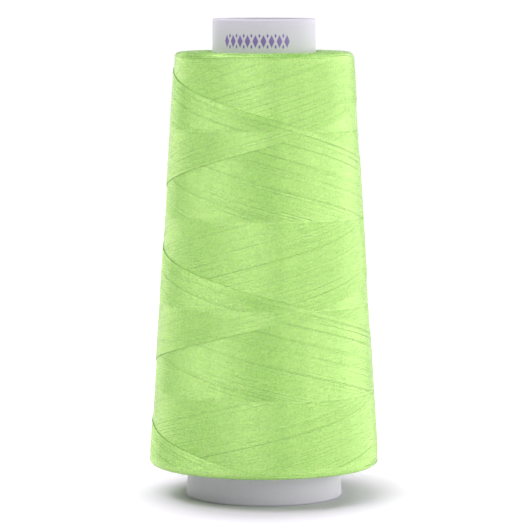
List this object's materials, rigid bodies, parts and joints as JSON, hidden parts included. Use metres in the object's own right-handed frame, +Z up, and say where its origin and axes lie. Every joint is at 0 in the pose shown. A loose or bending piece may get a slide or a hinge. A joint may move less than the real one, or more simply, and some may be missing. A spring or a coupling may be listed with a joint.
{
  "type": "cone of sewing thread",
  "caption": "Hollow tapered plastic cone with a straight nose, cross-wound with bright green sewing thread and standing on its open base.",
  "frame": {"origin": "centre of the cone's base, on the surface it stands on", "axes": "+Z up along the cone's axis, from the wide base to the nose; the pictured side faces -Y"},
  "size_m": [0.0554, 0.0551, 0.115],
  "materials": {
    "moulded_cone": "satin",
    "thread": "matte",
    "outer_thread": "matte"
  },
  "bodies": {
    "root": {"cone": "moulded_cone", "inner_winding": "thread", "outer_turns": "outer_thread"}
  },
  "joints": []
}
